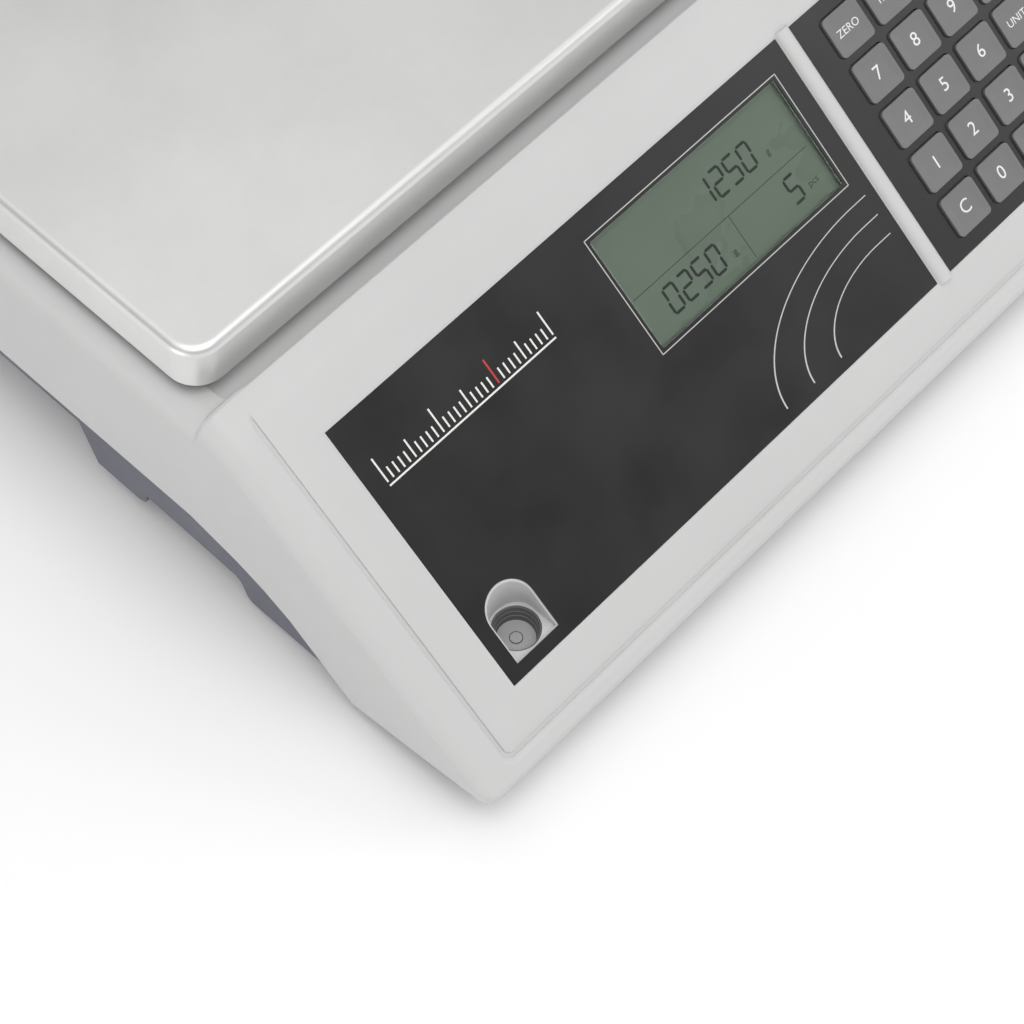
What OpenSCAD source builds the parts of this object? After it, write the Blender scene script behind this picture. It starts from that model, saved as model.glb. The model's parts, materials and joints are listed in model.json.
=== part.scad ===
// Counting scale: a stainless pan on a single-point load cell, a two-part moulded
// casing with a sloped display and keypad front, a level vial and four screw feet.
// Origin: centre of the footprint on the surface the feet stand on. +X right, +Y back.

/* [Casing] */
// Width of the casing across its side walls
casing_w = 332; // [326:1:340]
// Depth of the casing from nose to rear wall
casing_d = 344; // [340:1:356]
// Height of the deck under the pan
deck_z = 94; // [92:0.5:95]
// Wall thickness of the casing
wall = 2.6; // [2.2:0.1:3]
// Rounding where the deck turns into the side walls
edge_r = 8; // [6:0.5:10]
// Height of the joint between casing and base tray along the sides
parting_z = 39.5; // [38:0.5:41]
// Height of the lowest point of the casing skirt
skirt_z = 6.3; // [6:0.1:7]

/* [Sloped front] */
// Slope of the display and keypad front
slope = 38; // [37:0.5:39]
// Length of the panels measured up the slope
panel_h = 90; // [86:1:92]
// Width of the display panel
display_w = 186; // [180:1:188]
// Width of the raised rib between the panels
rib_w = 6; // [4:1:8]
// Width of the keypad panel
keypad_w = 86; // [84:1:90]
// Height of the front edge of the panels
panel_front_z = 31.1; // [31:0.1:31.5]

/* [Keypad] */
// Number of key columns
key_cols = 4; // [4]
// Number of key rows
key_rows = 5; // [5]
// Width of a key
key_w = 14.5; // [13:0.5:15]
// Height of a key
key_h = 13.5; // [12:0.5:14]
// Space between two keys
key_gap = 3; // [3:0.5:4]
// Travel of a key
key_travel = 0.8; // [0.5:0.1:0.8]

/* [Pan] */
// Width of the weighing pan over its lower rim
pan_w = 320; // [300:1:324]
// Depth of the weighing pan over its lower rim
pan_d = 224; // [210:1:226]
// Height of the lower rim of the pan
pan_low_z = 98.5; // [97:0.5:99]
// Height of the pan's top face
pan_top_z = 111.7; // [111:0.1:113]
// Thickness of the pan's sheet
pan_t = 1; // [0.8:0.1:1.2]

/* [Base] */
// Setback of the base tray behind the casing sides
tray_inset = 3.2; // [3:0.1:4]
// Thickness of the base tray
tray_t = 2.4; // [2:0.1:2.6]
// Height of the underside of the foot pods
pod_z = 6.3; // [6:0.1:7]
// Diameter of a levelling foot
foot_d = 26; // [22:1:28]
// Downward adjustment of a levelling foot
foot_travel = 6; // [4:1:8]

/* [Level vial] */
// Diameter of the vial
vial_d = 14.2; // [12:0.2:14.4]

/* [Hidden] */
$fn = 48;
half_w = casing_w / 2;
half_d = casing_d / 2;
gap = 0.3;
panels_w = display_w + rib_w + keypad_w;
panel_left_x = -panels_w / 2;
panel_front_y = -half_d + 16.4;
keypad_u = display_w + rib_w;

// Levels above (+) or below (-) the panels' face, measured square to the slope
face_n = 0.5;
overlay_t = 0.5;
inner_n = face_n - wall;

// Nose, hump and deck of the casing
nose_r = 2.6;
nose_y = -half_d + nose_r;
nose_z = slope_level(nose_y, face_n - nose_r);
hump_r = 6.6;
hump_z = 98.2;
hump_y = -half_d + 103.7;
hump_back_y = -half_d + 106.9;
skirt_y = -half_d + 54.4;
joint_y = -half_d + 132;
well_z = deck_z - 1.5;

// Base tray
tray_x = half_w - tray_inset;
side_zone = 27;
core_x = tray_x - side_zone;
core_z = 12;
grip_z = 27.6;
grip_y0 = -2.3;
grip_y1 = 78;
tray_y0 = -half_d + 12;
tray_y1 = half_d - wall - 1;
lip_z = parting_z + 4;

// Weighing gear
pan_y = -half_d + 226;
cell_len = 130;
cell_w = 30;
cell_h = 22;
cell_z = 52;
cell_end_x = cell_len / 2 - 15;
cell_bolt_pitch = 15;
bracket_z = 30;
bracket_t = 3;
carrier_z = 96;
carrier_t = 5;
buffer_x = 128;
buffer_y = 84;
buffer_z = 102;
deck_hole_r = 16;
spacer_r = 13;

// Display opening in the panel, from the panel's front-left corner
window_u = 98;
window_s = 43;
window_w = 80;
window_h = 38;

// Level vial pocket: a square-fronted round hole cut straight down into the slope
vial_x = panel_left_x + 13.3;
vial_y = panel_front_y + 11.8;
pocket_r = 7.9;
pocket_z = 32;
vial_low_z = 20;
vial_disc_h = 6;

// Battery and its door
batt = [47, 100, 70];
batt_x = -104;
batt_y = 70;
door_w = 54;
door_l = 108;
door_z = 9.4;

// Screw positions: nose, middle pods and rear pods
screw_at = [[-90, -132], [46, -132], [-149.5, -18], [149.5, -18], [-149.5, 100], [149.5, 100]];
screw_head_z = 22;

// Levelling feet
foot_at = [[-142, -98], [142, -98], [-142, 138], [142, 138]];
foot_pad_h = 2.6;
foot_knob_h = 3.2;
stud_r = 4;
thread_clear = 0.08;

// Rear connector bay
bay_x = 96;
bay_z = 58;
bay_w = 84;
bay_h = 30;
bay_plate_y = half_d - 8;
switch_x = bay_x + 20;
jack_x = bay_x - 22;

// ---- Helpers ----

// Height of the plane that lies n above the panels' face, at depth y
function slope_level(y, n) =
    panel_front_z + (y - panel_front_y) * tan(slope) + n / cos(slope);

// Children drawn flat land on the panels' face: x along it, y up the slope, z out of it
module on_slope() {
    translate([panel_left_x, panel_front_y, panel_front_z]) rotate([slope, 0, 0]) children();
}

// Children drawn as a (y, z) outline are extruded across x0..x1
module across(x0, x1) {
    translate([x0, 0, 0]) rotate([90, 0, 90]) linear_extrude(x1 - x0) children();
}

// Rectangle with one corner at the origin and rounded corners
module round_rect(w, h, r) {
    for (x = [r, w - r], y = [r, h - r]) translate([x, y]) circle(r);
    translate([r, 0]) square([w - 2 * r, h]);
    translate([0, r]) square([w, h - 2 * r]);
}

// Plate with rounded corners, centred on the origin in plan
module plate(w, h, t, r) {
    translate([-w / 2, -h / 2, 0]) linear_extrude(t) round_rect(w, h, r);
}

// Pan-head screw with its head under z = 0 and its shank above
module screw_up(shank_r, length, head_r, head_h) {
    translate([0, 0, -head_h]) cylinder(h = head_h, r = head_r);
    cylinder(h = length, r = shank_r);
}

// ---- Casing ----

// Wedge under the sloped front, drawn in by w on every side
module wedge_solid(w) {
    inner_y = w > 0 ? 8.5 : 0;
    side_x = half_w - w;
    hull() for (s = [-1, 1]) {
        translate([s * (side_x - 3.4), nose_y + inner_y, slope_level(nose_y + inner_y, face_n - w - nose_r)])
            sphere(nose_r, $fn = 24);
        translate([s * (side_x - 8), hump_y + w * tan(slope / 2), hump_z - hump_r - w])
            sphere(hump_r, $fn = 32);
        translate([s * (side_x - 2), hump_back_y - w, hump_z - 1.5 - w]) sphere(1.5, $fn = 16);
        translate([s * (side_x - 6), joint_y, 0]) cylinder(h = deck_z - 20, r = 6, $fn = 24);
        translate([s * (side_x - 5), skirt_y, 0]) cylinder(h = 4, r = 5, $fn = 24);
        // The hollow reaches straight down behind the nose
        if (w > 0) translate([s * (side_x - 5), nose_y + inner_y + 2, 0]) cylinder(h = 4, r = 5, $fn = 24);
    }
}

// Box under the deck, drawn in by w on every side
module box_solid(w) {
    r = edge_r - w / 2;
    hull() for (s = [-1, 1], y = [hump_y - 12, half_d - w - edge_r - 2]) {
        translate([s * (half_w - w - 1 - r), y, deck_z - w - r]) sphere(r, $fn = 32);
        translate([s * (half_w - w - 10), y, 0]) cylinder(h = parting_z + 1, r = 10, $fn = 32);
    }
}

// Side view of the space that the casing fills: everything above its lower edge
module casing_side_view() {
    polygon([[-half_d - 1, 14.8], [-half_d + 7, 15.4], [-half_d + 27, 11.3], [skirt_y, skirt_z],
        [skirt_y + 24, 26.2], [skirt_y + 34, 31.6], [skirt_y + 44, 35.3], [skirt_y + 63, parting_z],
        [half_d + 1, parting_z], [half_d + 1, 130], [-half_d - 1, 130]]);
}

// Frame step and groove that run round the panels
module frame_groove() {
    depth = 1.1;
    width = 1.2;
    off = 14.9;
    on_slope() translate([0, 0, face_n - depth]) difference() {
        translate([-off, -off, 0]) linear_extrude(depth + 4)
            round_rect(panels_w + 2 * off, panel_h + 2 * off, 2);
        translate([width - off, width - off, -1]) linear_extrude(depth + 6)
            round_rect(panels_w + 2 * (off - width), panel_h + 2 * off, 2);
    }
}

// Outline of the level vial's pocket
module pocket_outline(extra) {
    translate([vial_x, vial_y]) {
        circle(pocket_r + extra);
        translate([-pocket_r - extra, -pocket_r - extra])
            square([2 * (pocket_r + extra), pocket_r + extra]);
    }
}

// Hollow bosses inside the casing that take the long screws
module casing_bosses() {
    for (p = screw_at) translate([p[0], p[1], screw_head_z + 6]) {
        top = p[1] < -100 ? slope_level(p[1], inner_n) + 1 : deck_z - wall + 1;
        difference() {
            cylinder(h = top - screw_head_z - 6, r = 4.2);
            translate([0, 0, -1]) cylinder(h = 17, r = 1.5);
        }
    }
}

// Posts behind the slope that carry the display and keypad boards
module board_posts() {
    on_slope() for (p = board_post_at) translate([p[0], p[1], -7.4]) difference() {
        cylinder(h = 7.4 + inner_n + 0.4, r = 3);
        translate([0, 0, -1]) cylinder(h = 5.5, r = 1.1);
    }
}

board_post_at = [[window_u - 8, window_s - 6], [window_u - 8, window_s + window_h + 4],
    [window_u + window_w + 6.5, window_s - 6], [window_u + window_w + 6.5, window_s + window_h + 4],
    [keypad_u + 3, 3.5], [keypad_u + 3, panel_h - 3.5],
    [keypad_u + keypad_w - 3, 3.5], [keypad_u + keypad_w - 3, panel_h - 3.5]];

module top_casing() {
    color([0.86, 0.86, 0.85]) difference() {
        union() {
            difference() {
                union() {
                    wedge_solid(0);
                    box_solid(0);
                }
                difference() {
                    union() {
                        wedge_solid(wall);
                        box_solid(wall);
                    }
                    linear_extrude(100) pocket_outline(2);
                }
                translate([0, 0, -1]) linear_extrude(vial_low_z) pocket_outline(3);
                frame_groove();
            }
            on_slope() translate([display_w + rib_w / 2, 0, -1])
                rotate([-90, 0, 0]) cylinder(h = panel_h, r = rib_w / 2 - 0.1);
            casing_bosses();
            board_posts();
        }
        // Everything under the skirt line
        difference() {
            across(-half_w - 1, half_w + 1)
                translate([-half_d - 2, -1]) square([casing_d + 4, 60]);
            across(-half_w - 2, half_w + 2) casing_side_view();
            casing_bosses_zone();
        }
        // Seats of the two panels, and their openings
        on_slope() {
            translate([0, 0, -overlay_t - 0.05]) cube([display_w, panel_h, 5]);
            translate([keypad_u, 0, -overlay_t - 0.05]) cube([keypad_w, panel_h, 5]);
            translate([window_u, window_s, -5]) cube([window_w, window_h, 10]);
            translate([keypad_u + keypad_w / 2 - 36, panel_h / 2 - 41, -5]) cube([72, 82, 10]);
        }
        // Pocket and seat of the level vial
        translate([0, 0, pocket_z]) linear_extrude(80) pocket_outline(0);
        translate([vial_x, vial_y, vial_low_z - 5]) cylinder(h = 40, r = vial_d / 2 + 0.1);
        // Shallow well of the deck and the passage of the load cell's post
        translate([-153.6, hump_back_y + 3.6, well_z]) linear_extrude(10)
            round_rect(307.2, half_d - 14 - hump_back_y - 3.6, 8);
        translate([cell_end_x, pan_y, deck_z - 20]) cylinder(h = 40, r = deck_hole_r);
        // Rear opening of the connector bay
        translate([bay_x - bay_w / 2, half_d - 12, bay_z - bay_h / 2]) cube([bay_w, 20, bay_h]);
    }
}

// Zone in which the long bosses may reach below the skirt line
module casing_bosses_zone() {
    for (p = screw_at) translate([p[0], p[1], screw_head_z + 6 - 0.01]) cylinder(h = 60, r = 4.3);
}

// ---- Base tray ----

// Side view of the tray's underside along its sides, shifted up by dz
module tray_side_view(dz) {
    polygon([[tray_y0, 15.4 + dz], [skirt_y + 1, skirt_z + dz], [-73.5, pod_z + dz], [-71.5, 7.6 + dz],
        [-69.5, 13.8 + dz], [-67.5, 15.4 + dz], [-30 - dz, 16.6 + dz], [-28.6 - dz, 11.6 + dz],
        [-26 - dz, 10.2 + dz], [-8 + dz / 2, 10.4 + dz], [grip_y0 + dz / 2, grip_z + dz],
        [grip_y1 - dz / 2, grip_z + dz], [grip_y1 + 6 - dz / 2, pod_z + dz], [tray_y1, pod_z + dz],
        [tray_y1, lip_z], [skirt_y + 58, lip_z], [skirt_y + 34, 36], [skirt_y + 18, 24], [tray_y0, 20]]);
}

// Side view of the tray's middle, shifted up by dz
module tray_core_view(dz) {
    polygon([[tray_y0, 15.4 + dz], [-140, core_z + dz], [tray_y1, core_z + dz], [tray_y1, lip_z],
        [skirt_y + 58, lip_z], [skirt_y + 34, 36], [skirt_y + 18, 24], [tray_y0, 20]]);
}

// Plan of the tray, drawn in by w
module tray_plan(w) {
    translate([-tray_x + w, tray_y0 + w])
        round_rect(2 * (tray_x - w), tray_y1 - tray_y0 - 2 * w, 8);
}

// Columns of the tray that meet the casing's bosses
module tray_columns() {
    for (p = screw_at) translate([p[0], p[1], p[1] < -100 ? core_z + 1 : 8])
        cylinder(h = screw_head_z + 5.7 - (p[1] < -100 ? core_z + 1 : 8), r = 6);
    for (p = foot_at) translate([p[0], p[1], pod_z + 1]) cylinder(h = 17, r = 8);
    for (x = [-58, 58], y = [-22, 22]) translate([x, pan_y + y, core_z + 1])
        cylinder(h = bracket_z - core_z - 1, r = 5);
    for (p = main_board_post_at) translate([p[0], p[1], core_z + 1]) cylinder(h = 12, r = 3.4);
}

main_board_post_at = [for (x = [80, 126], y = [16, 124]) [x, y]];

// Rails under the tray that hold the battery door
module door_rails() {
    for (s = [-1, 1]) translate([batt_x, batt_y + s * (door_l / 2 + 3), 0]) {
        translate([-door_w / 2 - 1, -2.4, door_z - 2]) cube([door_w + 2, 4.8, core_z - door_z + 2.6]);
        translate([-door_w / 2 - 1, s > 0 ? -5 : -0.4, door_z - 2]) cube([door_w + 2, 5.4, 1.7]);
    }
}

module base_tray() {
    color([0.36, 0.37, 0.43]) difference() {
        union() {
            difference() {
                intersection() {
                    union() {
                        across(-tray_x, -core_x) tray_side_view(0);
                        across(core_x, tray_x) tray_side_view(0);
                        across(-core_x - 1, core_x + 1) tray_core_view(0);
                    }
                    linear_extrude(100) tray_plan(0);
                }
                intersection() {
                    union() {
                        across(-tray_x - 1, -core_x - tray_t) tray_side_view(tray_t);
                        across(core_x + tray_t, tray_x + 1) tray_side_view(tray_t);
                        across(-core_x + tray_t, core_x - tray_t) tray_core_view(tray_t);
                        // The walls between the side zones and the middle stay low
                        across(-core_x - tray_t - 1, core_x + tray_t + 1) translate([tray_y0, 34])
                            square([casing_d, 20]);
                    }
                    linear_extrude(100) tray_plan(tray_t);
                }
            }
            tray_columns();
            door_rails();
        }
        for (p = screw_at) translate([p[0], p[1], 0]) {
            cylinder(h = 60, r = 1.9);
            cylinder(h = screw_head_z, r = 3.8);
        }
        for (p = foot_at) translate([p[0], p[1], 0]) cylinder(h = 40, r = stud_r + thread_clear);
        for (x = [-58, 58], y = [-22, 22]) translate([x, pan_y + y, bracket_z - 12])
            cylinder(h = 20, r = 1.7);
        for (p = main_board_post_at) translate([p[0], p[1], core_z + 4]) cylinder(h = 20, r = 1.3);
        // Notch under the vial's column
        translate([vial_x - 10.5, vial_y - 10.5, vial_low_z - 1.3]) cube([21, 21, 20]);
        // Battery opening
        translate([batt_x - batt[0] / 2 - 1, batt_y - batt[1] / 2 - 1, 0])
            cube([batt[0] + 2, batt[1] + 2, core_z + tray_t + 1]);
    }
}

// ---- Front panels ----

module display_panel() {
    color([0.12, 0.12, 0.12]) difference() {
        on_slope() difference() {
            translate([gap / 2, gap / 2, -overlay_t]) cube([display_w - gap, panel_h - gap, overlay_t]);
            translate([window_u, window_s, -2]) cube([window_w, window_h, 4]);
        }
        linear_extrude(100) pocket_outline(0.05);
    }
}

module display_window() {
    color([0.3, 0.34, 0.34]) on_slope() {
        translate([window_u + 0.1, window_s + 0.1, inner_n - 0.5])
            cube([window_w - 0.2, window_h - 0.2, 0.45 - inner_n]);
        translate([window_u - 3, window_s - 3, inner_n - 1.1]) cube([window_w + 6, window_h + 6, 1]);
    }
}

module lcd_module() {
    color([0.62, 0.68, 0.6]) on_slope()
        translate([window_u - 3, window_s - 3, -7.2]) cube([window_w + 6, window_h + 6, 7.2 + inner_n - 1.2]);
}

module display_board() {
    color([0.1, 0.4, 0.22]) on_slope() difference() {
        translate([window_u - 12, window_s - 10, -9.1]) cube([window_w + 22, window_h + 18, 1.6]);
        for (i = [0:3]) translate([board_post_at[i][0], board_post_at[i][1], -12]) cylinder(h = 10, r = 1.5);
    }
}

// Lower-left corner of the key in column c and row r, counted from the front left
function key_u(c) = keypad_u + (keypad_w - key_cols * key_w - (key_cols - 1) * key_gap) / 2
    + c * (key_w + key_gap);
function key_s(r) = (panel_h - key_rows * key_h - (key_rows - 1) * key_gap) / 2
    + r * (key_h + key_gap);

module keypad_panel() {
    grid_t = 2.2;
    color([0.12, 0.12, 0.12]) on_slope() difference() {
        union() {
            translate([keypad_u + gap / 2, gap / 2, -overlay_t])
                cube([keypad_w - gap, panel_h - gap, overlay_t]);
            translate([keypad_u + keypad_w / 2 - 35.8, panel_h / 2 - 40.8, -overlay_t - grid_t])
                cube([71.6, 81.6, grid_t + 0.1]);
        }
        for (c = [0:key_cols - 1], r = [0:key_rows - 1])
            translate([key_u(c) - gap, key_s(r) - gap, -5]) linear_extrude(10)
                round_rect(key_w + 2 * gap, key_h + 2 * gap, 1.8);
    }
}

// One key: its cap and the flange that keeps it behind the panel
module key_cap(r, c) {
    flange_n = -4;
    color([0.42, 0.42, 0.43]) on_slope() translate([key_u(c), key_s(r), 0]) {
        translate([0, 0, flange_n]) linear_extrude(0.9 - flange_n) round_rect(key_w, key_h, 1.5);
        translate([-1, -1, flange_n]) cube([key_w + 2, key_h + 2, 1]);
    }
}

module keypad_mat() {
    color([0.75, 0.75, 0.72]) on_slope()
        translate([keypad_u + keypad_w / 2 - 35.5, panel_h / 2 - 40.5, -7]) cube([71, 81, 2]);
}

module keypad_board() {
    color([0.1, 0.4, 0.22]) on_slope() difference() {
        translate([keypad_u + 0.5, 1, -9.1]) cube([keypad_w - 1, panel_h - 2, 1.6]);
        for (i = [4:7]) translate([board_post_at[i][0], board_post_at[i][1], -12]) cylinder(h = 10, r = 1.5);
    }
}

module board_screws() {
    color([0.75, 0.75, 0.77]) on_slope() for (p = board_post_at)
        translate([p[0], p[1], -9.2]) screw_up(1, 5.5, 2.4, 1.6);
    color([0.75, 0.75, 0.77]) for (p = main_board_post_at)
        translate([p[0], p[1], core_z + 14.8]) mirror([0, 0, 1]) screw_up(1.2, 8, 2.6, 1.7);
}

// ---- Level vial ----

module level_vial() {
    rim = 1.1;
    color([0.75, 0.8, 0.72]) translate([vial_x, vial_y, vial_low_z]) difference() {
        cylinder(h = pocket_z - vial_low_z - 0.3, r = vial_d / 2);
        translate([0, 0, vial_disc_h]) cylinder(h = 10, r = vial_d / 2 - rim);
    }
}

module vial_bubble() {
    color([0.9, 0.95, 0.9]) translate([vial_x, vial_y, vial_low_z + vial_disc_h + 0.05])
        cylinder(h = 0.5, r = 2.2);
}

// ---- Weighing gear ----

// Pan body with its sides leaning out towards the lower rim
module pan_form(w, drop) {
    flare = 1.6;
    hull() for (sx = [-1, 1], sy = [-1, 1]) {
        translate([sx * (pan_w / 2 - w - flare - 9), pan_y + sy * (pan_d / 2 - w - flare - 9), pan_top_z - w - 5])
            rotate_extrude($fn = 32) intersection() {
                union() {
                    translate([4, 0]) circle(5, $fn = 32);
                    square([4, 5]);
                }
                square([9, 5]);
            }
        translate([sx * (pan_w / 2 - w - 10), pan_y + sy * (pan_d / 2 - w - 10), pan_low_z - drop])
            cylinder(h = 1, r = 10, $fn = 32);
    }
}

module weighing_pan() {
    color([0.78, 0.78, 0.78]) difference() {
        pan_form(0, 0);
        pan_form(pan_t, 2);
    }
}

module pan_carrier() {
    reach = sqrt(buffer_x * buffer_x + buffer_y * buffer_y);
    lean = atan2(buffer_y, buffer_x);
    color([0.7, 0.71, 0.72]) translate([0, pan_y, carrier_z]) difference() {
        union() {
            translate([-75, -37, 0]) cube([150, 74, carrier_t]);
            for (a = [lean, -lean]) rotate([0, 0, a]) {
                translate([-reach, -9, 0.4]) cube([2 * reach, 18, carrier_t - 0.8]);
                for (x = [-reach + 10, 80]) translate([x, -2, 1]) cube([reach - 90, 4, carrier_t + 2]);
            }
            for (x = [-buffer_x, buffer_x], y = [-buffer_y, buffer_y]) translate([x, y, 0])
                cylinder(h = buffer_z - carrier_z, r = 12);
        }
        for (d = [-1, 1]) translate([cell_end_x + d * cell_bolt_pitch / 2, 0, -1]) {
            cylinder(h = 20, r = 3.3);
            translate([0, 0, carrier_t + 1]) cylinder(h = 20, r = 6);
        }
        for (x = [-buffer_x, buffer_x], y = [-buffer_y, buffer_y]) translate([x, y, -1])
            cylinder(h = 20, r = 4);
    }
}

module pan_buffers() {
    color([0.15, 0.15, 0.15]) for (x = [-buffer_x, buffer_x], y = [-buffer_y, buffer_y])
        translate([x, pan_y + y, 0]) {
            translate([0, 0, buffer_z]) cylinder(h = pan_top_z - pan_t - buffer_z - 0.02, r = 9);
            translate([0, 0, carrier_z + 1]) cylinder(h = buffer_z - carrier_z, r = 3.9);
        }
}

module load_cell() {
    color([0.8, 0.8, 0.82]) translate([0, pan_y, cell_z]) difference() {
        translate([-cell_len / 2, -cell_w / 2, 0]) cube([cell_len, cell_w, cell_h]);
        for (x = [-11, 11]) translate([x, cell_w, cell_h / 2]) rotate([90, 0, 0]) cylinder(h = 2 * cell_w, r = 7.5);
        translate([-11, -cell_w, cell_h / 2 - 2]) cube([22, 2 * cell_w, 4]);
        for (s = [-1, 1], d = [-1, 1])
            translate([s * cell_end_x + d * cell_bolt_pitch / 2, 0, -1]) cylinder(h = cell_h + 2, r = 3);
    }
}

module cell_base_spacer() {
    color([0.7, 0.7, 0.72]) translate([-cell_end_x, pan_y, bracket_z + bracket_t]) difference() {
        translate([-15, -15, 0]) cube([30, 30, cell_z - bracket_z - bracket_t]);
        for (d = [-1, 1]) translate([d * cell_bolt_pitch / 2, 0, -1]) cylinder(h = 40, r = 3.3);
    }
}

module cell_top_spacer() {
    color([0.7, 0.7, 0.72]) translate([cell_end_x, pan_y, cell_z + cell_h]) difference() {
        cylinder(h = carrier_z - cell_z - cell_h, r = spacer_r);
        for (d = [-1, 1]) translate([d * cell_bolt_pitch / 2, 0, -1]) cylinder(h = 40, r = 3.3);
    }
}

module cell_bolts() {
    low_bolt = cell_z - bracket_z + 14;
    high_bolt = carrier_z + carrier_t - cell_z - cell_h + 14;
    color([0.55, 0.55, 0.57]) for (d = [-1, 1]) {
        translate([-cell_end_x + d * cell_bolt_pitch / 2, pan_y, bracket_z]) screw_up(2.95, low_bolt, 5, 4);
        translate([cell_end_x + d * cell_bolt_pitch / 2, pan_y, carrier_z + carrier_t])
            mirror([0, 0, 1]) screw_up(2.95, high_bolt, 5, 4);
    }
}

module cell_bracket() {
    color([0.6, 0.6, 0.62]) translate([0, pan_y, bracket_z]) difference() {
        plate(140, 60, bracket_t, 5);
        for (x = [-58, 58], y = [-22, 22]) translate([x, y, -1]) cylinder(h = 10, r = 2.2);
        for (d = [-1, 1]) translate([-cell_end_x + d * cell_bolt_pitch / 2, 0, -1]) cylinder(h = 10, r = 3.3);
        translate([cell_end_x, 0, -1]) cylinder(h = 10, r = 2.5);
    }
}

module bracket_screws() {
    color([0.75, 0.75, 0.77]) for (x = [-58, 58], y = [-22, 22])
        translate([x, pan_y + y, bracket_z + bracket_t]) mirror([0, 0, 1]) screw_up(1.65, 13, 3.6, 2.4);
}

module overload_stop() {
    color([0.55, 0.55, 0.57]) translate([cell_end_x, pan_y, 0]) {
        translate([0, 0, bracket_z - 6]) cylinder(h = cell_z - 0.4 - bracket_z + 6, r = 2.45);
        translate([0, 0, bracket_z + bracket_t]) cylinder(h = 3.5, r = 4.5, $fn = 6);
        translate([0, 0, bracket_z - 6]) cylinder(h = 3, r = 4.2);
    }
}

// ---- Electronics ----

module main_board() {
    color([0.1, 0.4, 0.22]) translate([0, 0, core_z + 13]) {
        difference() {
            translate([76, 12, 0]) cube([54, 116, 1.6]);
            for (p = main_board_post_at) translate([p[0], p[1], -1]) cylinder(h = 5, r = 1.6);
        }
        translate([90, 40, 1.5]) cube([24, 24, 2.6]);
        translate([86, 100, 1.5]) cube([10, 16, 8]);
        translate([110, 96, 1.5]) cube([9, 22, 12]);
        for (y = [76, 88]) translate([104, y, 1.5]) cylinder(h = 13, r = 4.5);
        translate([84, 18, 1.5]) cube([30, 6, 6]);
    }
}

module battery() {
    color([0.25, 0.27, 0.3]) translate([batt_x, batt_y, core_z]) {
        translate([-batt[0] / 2, -batt[1] / 2, 0]) cube(batt);
        translate([-14, -batt[1] / 2 + 6, batt[2] - 0.1]) cube([5, 7, 4]);
        translate([9, -batt[1] / 2 + 6, batt[2] - 0.1]) cube([5, 7, 4]);
    }
}

module battery_strap() {
    color([0.6, 0.6, 0.62]) translate([batt_x, batt_y + 20, core_z + tray_t]) {
        for (s = [-1, 1]) translate([s * (batt[0] / 2 + 1.2) - 1, -8, 0]) cube([2, 16, batt[2] + 0.3]);
        translate([-batt[0] / 2 - 2.2, -8, batt[2] - 1.3]) cube([batt[0] + 4.4, 16, 1.6]);
    }
}

module battery_door() {
    color([0.36, 0.37, 0.43]) translate([batt_x, batt_y, door_z]) {
        difference() {
            translate([-door_w / 2, -door_l / 2, 0]) cube([door_w, door_l, core_z - door_z - gap]);
            translate([-door_w / 2 + 6, -12, -0.6]) for (i = [0:3]) translate([i * 3, 0, 0]) cube([1.5, 24, 1.2]);
        }
    }
}

module connector_plate() {
    color([0.14, 0.14, 0.15]) difference() {
        translate([bay_x - bay_w / 2 - 3, bay_plate_y - 3, bay_z - bay_h / 2 - 3])
            cube([bay_w + 6, 2.4, bay_h + 6]);
        translate([switch_x - 9.7, half_d - 20, bay_z - 6.7]) cube([19.4, 20, 13.4]);
        translate([jack_x - 5, half_d - 20, bay_z - 6]) cube([10, 20, 12]);
    }
}

module dc_jack() {
    color([0.1, 0.1, 0.1]) translate([jack_x, bay_plate_y + 0.4, bay_z]) difference() {
        union() {
            translate([-4.8, -13.4, -5.8]) cube([9.6, 13.4, 11.6]);
            translate([-6.5, -0.9, -7.5]) cube([13, 1.4, 15]);
        }
        difference() {
            translate([0, 2, 0]) rotate([90, 0, 0]) cylinder(h = 12, r = 3.1);
            translate([0, 2, 0]) rotate([90, 0, 0]) cylinder(h = 13, r = 1);
        }
        translate([-4, -0.2, -4]) cube([8, 2, 8]);
    }
}

module switch_frame() {
    color([0.08, 0.08, 0.08]) translate([switch_x, bay_plate_y - 0.6, bay_z]) difference() {
        union() {
            translate([-10.5, 0, -7.5]) cube([21, 1.6, 15]);
            translate([-9.4, -11, -6.4]) cube([18.8, 11.5, 12.8]);
        }
        translate([-8.2, -8, -5.2]) cube([16.4, 12, 10.4]);
    }
}

rocker_tilt = 8;
rocker_pin_y = bay_plate_y - 2.6;

// Rocker at rest: tilted, with its left half pressed in
module switch_rocker() {
    color([0.12, 0.12, 0.12]) translate([switch_x, rocker_pin_y, bay_z]) rotate([0, 0, -rocker_tilt])
        difference() {
            translate([0, 0, -4.8]) linear_extrude(9.6)
                polygon([[-7.4, 3.6], [0, 1.9], [7.4, 3.6], [7.4, -0.5], [2, -3.6], [-2, -3.6], [-7.4, -0.5]]);
            translate([0, 0, -10]) cylinder(h = 20, r = 0.9);
        }
}

// A run of wires between two points at one height
module wire_run(a, b, z, r) {
    d = b - a;
    translate([a[0], a[1], z]) rotate([0, 90, atan2(d[1], d[0])]) cylinder(h = norm(d), r = r);
}

module wiring_harness() {
    z_low = core_z + tray_t + 3;
    corners = [[-70, -2], [70, -2], [70, -90], [-40, -90]];
    color([0.5, 0.12, 0.1]) {
        for (i = [0:2]) wire_run(corners[i], corners[i + 1], z_low, 2);
        wire_run([70, -2], [84, 11], z_low, 2);
        for (p = corners) translate([p[0], p[1], z_low - 2.8]) cylinder(h = 5.6, r = 3);
    }
}

// ---- Fasteners and feet ----

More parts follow.
